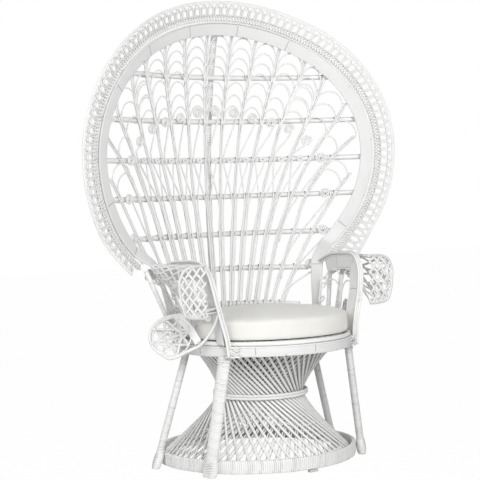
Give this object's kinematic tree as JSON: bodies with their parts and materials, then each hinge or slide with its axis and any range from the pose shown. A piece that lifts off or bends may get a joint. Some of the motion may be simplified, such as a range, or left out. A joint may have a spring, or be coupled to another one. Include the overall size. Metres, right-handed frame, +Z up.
{
  "type": "peacock chair",
  "caption": "Cane armchair with a tall round woven back, hourglass pedestal, woven arm rolls and a loose round cushion.",
  "frame": {"origin": "on the floor under the middle of the overall width and depth", "axes": "+Z up, -Y is where the sitter faces, +X on the right of a viewer who faces the chair"},
  "size_m": [1.1984, 0.669, 1.5009],
  "materials": {
    "white_cane": "white satin paint",
    "wrapped_band": "white satin paint over wrapped cane",
    "cushion_fabric": "matt woven cloth"
  },
  "bodies": {
    "chair": {"base_hoop": "wrapped_band", "seat_band": "wrapped_band", "hoop_wide_band": "wrapped_band", "leg_front_left": "wrapped_band", "leg_front_right": "wrapped_band", "leg_side_left": "wrapped_band", "leg_side_right": "wrapped_band", "hoop_posts_left": "wrapped_band", "hoop_posts_right": "wrapped_band", "arm_panel_left": "wrapped_band", "arm_panel_right": "wrapped_band", "waist_hoop": "white_cane", "pedestal_outer_strands": "white_cane", "pedestal_inner_strands": "white_cane", "seat_rim_rod": "white_cane", "seat_deck": "white_cane", "stub_foot_front": "white_cane", "stub_foot_rear": "white_cane", "hoop_outer_rod": "white_cane", "hoop_inner_rod": "white_cane", "hoop_lattice": "white_cane", "rear_post": "white_cane", "cross_bar_1": "white_cane", "cross_bar_2": "white_cane", "cross_bar_3": "white_cane", "cross_bar_4": "white_cane", "cross_bar_5": "white_cane", "cross_bar_6": "white_cane", "cross_bar_7": "white_cane", "back_leaf_left_1": "white_cane", "back_leaf_left_2": "white_cane", "back_leaf_left_3": "white_cane", "back_leaf_left_4": "white_cane", "back_leaf_left_5": "white_cane", "back_leaf_left_6": "white_cane", "back_leaf_left_7": "white_cane", "back_leaf_left_8": "white_cane", "back_leaf_right_1": "white_cane", "back_leaf_right_2": "white_cane", "back_leaf_right_3": "white_cane", "back_leaf_right_4": "white_cane", "back_leaf_right_5": "white_cane", "back_leaf_right_6": "white_cane", "back_leaf_right_7": "white_cane", "back_leaf_right_8": "white_cane", "back_leaf_centre": "white_cane", "foot_binding_front_left": "white_cane", "foot_binding_front_right": "white_cane", "foot_binding_side_left": "white_cane", "foot_binding_side_right": "white_cane", "seat_binding_front_left": "white_cane", "seat_binding_front_right": "white_cane", "arm_rod_left": "white_cane", "arm_rod_right": "white_cane", "arm_roll_left": "white_cane", "arm_roll_right": "white_cane", "arm_mouth_left": "white_cane", "arm_mouth_right": "white_cane"},
    "cushion": {"seat_cushion": "cushion_fabric"}
  },
  "joints": [
    {"name": "cushion_lift", "type": "slide", "parent": "chair", "child": "cushion", "axis": [0, 0, 1], "range_m": [0, 0.28]}
  ]
}
